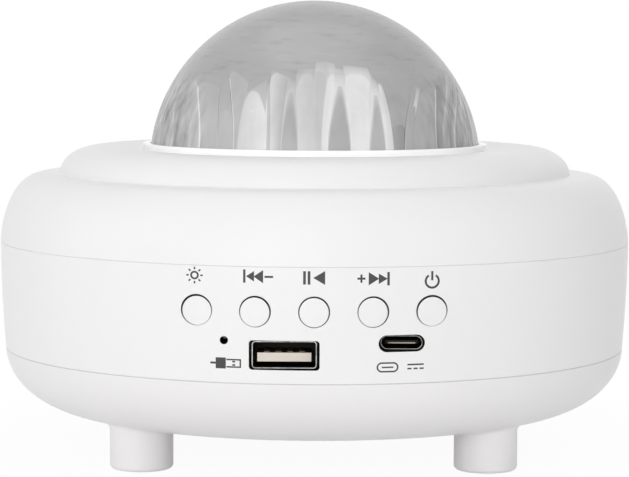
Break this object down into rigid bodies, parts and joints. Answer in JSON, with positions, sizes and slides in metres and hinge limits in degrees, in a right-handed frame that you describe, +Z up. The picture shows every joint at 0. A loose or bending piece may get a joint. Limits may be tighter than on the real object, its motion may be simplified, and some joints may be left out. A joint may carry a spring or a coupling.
{
  "type": "star night light projector",
  "caption": "Round table-top star projector: stepped white housing on legs, translucent dome with a turning ripple lens, front keys and sockets, speaker below.",
  "frame": {"origin": "centre of the bounding box's bottom, on the table under the dome's axis", "axes": "+Z up along the dome's axis, -Y towards the keys and sockets, +X to the right seen from the front"},
  "size_m": [0.144, 0.144, 0.1022],
  "materials": {
    "white_plastic": "satin white moulding",
    "white_gloss": "polished white moulding",
    "smoke_dome": "translucent grey, reeded inside",
    "black_plastic": "matt moulding",
    "screw_steel": "zinc plated",
    "pad_rubber": "pale grey silicone",
    "board_white": "white solder mask",
    "lamp_resin": "lamp packages",
    "brass": "turned",
    "motor_can": "drawn can",
    "clear_acrylic": "clear moulding",
    "nylon_white": "natural nylon",
    "black_rubber": "soft",
    "speaker_frame": "black zinc",
    "cone_paper": "treated paper",
    "board_green": "green solder mask",
    "socket_steel": "nickel plated sheet",
    "socket_white": "natural white insulator",
    "contact_gold": "gold flash",
    "chip_black": "moulded package"
  },
  "bodies": {
    "housing": {"amplifier_chip": "chip_black", "board_screws": "screw_steel", "bottom_shell": "white_plastic", "cable_sockets": "nylon_white", "capacitors": "motor_can", "case_screws": "screw_steel", "control_board": "board_green", "deck_screws": "screw_steel", "dome": "smoke_dome", "dome_collar": "white_gloss", "dome_retainer": "black_plastic", "foot_pads": "pad_rubber", "gear_motor": "motor_can", "key_switches": "black_plastic", "laser_module": "brass", "led_board": "board_white", "led_board_screws": "screw_steel", "leds": "lamp_resin", "light_deck": "black_plastic", "microphone": "motor_can", "microphone_boot": "black_rubber", "middle_band": "white_plastic", "motor_plate": "motor_can", "motor_screws": "screw_steel", "retainer_screws": "screw_steel", "rotor_clip": "screw_steel", "sound_chip": "chip_black", "speaker_basket": "speaker_frame", "speaker_cone": "cone_paper", "speaker_dust_cap": "cone_paper", "speaker_gasket": "black_rubber", "speaker_magnet": "speaker_frame", "speaker_screws": "screw_steel", "speaker_surround": "black_rubber", "top_cover": "white_plastic", "usb_a_contacts": "contact_gold", "usb_a_insulator": "socket_white", "usb_a_shell": "socket_steel", "usb_c_shell": "socket_steel", "usb_c_tongue": "black_plastic"},
    "rotor": {"ripple_rotor": "clear_acrylic", "star_grating": "clear_acrylic"},
    "pinion": {"drive_pinion": "nylon_white", "motor_shaft": "screw_steel"},
    "lamp_key": {"lamp_button": "white_plastic", "lamp_plunger": "chip_black"},
    "previous_key": {"previous_button": "white_plastic", "previous_plunger": "chip_black"},
    "play_key": {"play_button": "white_plastic", "play_plunger": "chip_black"},
    "next_key": {"next_button": "white_plastic", "next_plunger": "chip_black"},
    "power_key": {"power_button": "white_plastic", "power_plunger": "chip_black"}
  },
  "joints": [
    {"name": "lamp_press", "type": "slide", "parent": "housing", "child": "lamp_key", "axis": [0, 1, 0], "range_m": [0, 0.0003], "stiffness_N_per_m": 400},
    {"name": "previous_press", "type": "slide", "parent": "housing", "child": "previous_key", "axis": [0, 1, 0], "range_m": [0, 0.0003], "stiffness_N_per_m": 400},
    {"name": "play_press", "type": "slide", "parent": "housing", "child": "play_key", "axis": [0, 1, 0], "range_m": [0, 0.0003], "stiffness_N_per_m": 400},
    {"name": "next_press", "type": "slide", "parent": "housing", "child": "next_key", "axis": [0, 1, 0], "range_m": [0, 0.0003], "stiffness_N_per_m": 400},
    {"name": "power_press", "type": "slide", "parent": "housing", "child": "power_key", "axis": [0, 1, 0], "range_m": [0, 0.0003], "stiffness_N_per_m": 400},
    {"name": "rotor_turn", "type": "hinge", "parent": "housing", "child": "rotor", "pos_m": [0, 0, 0.0521], "axis": [0, 0, 1], "continuous": true},
    {"name": "pinion_turn", "type": "hinge", "parent": "housing", "child": "pinion", "pos_m": [0, 0.01925, 0.0521], "axis": [0, 0, 1], "continuous": true}
  ],
  "couplings": [
    {"joint": "pinion_turn", "follows": "rotor_turn", "ratio": -3}
  ]
}
